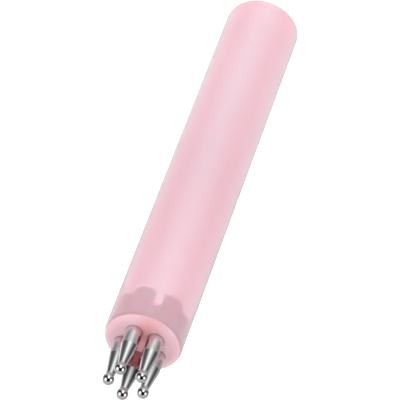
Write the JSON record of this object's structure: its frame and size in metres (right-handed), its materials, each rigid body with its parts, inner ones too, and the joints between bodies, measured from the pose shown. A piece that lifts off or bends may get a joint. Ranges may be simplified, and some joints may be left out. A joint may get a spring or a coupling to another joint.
{
  "type": "nail dotting tool",
  "caption": "Short round translucent handle with a ring of parallel ball-tipped steel pins in its front face, for printing a flower of dots on a nail.",
  "frame": {"origin": "centre of the handle's flat rear face, on which the tool stands", "axes": "+Z along the handle from the rear face to the ball tips; the pin called dotting_pin_1 stands on the +Y side of the axis"},
  "size_m": [0.01, 0.01, 0.0692],
  "materials": {
    "milky_pink_acrylic": "gloss",
    "polished_steel": "polished"
  },
  "bodies": {
    "root": {"handle": "milky_pink_acrylic", "dotting_pin_1": "polished_steel", "dotting_pin_2": "polished_steel", "dotting_pin_3": "polished_steel", "dotting_pin_4": "polished_steel", "dotting_pin_5": "polished_steel"}
  },
  "joints": []
}
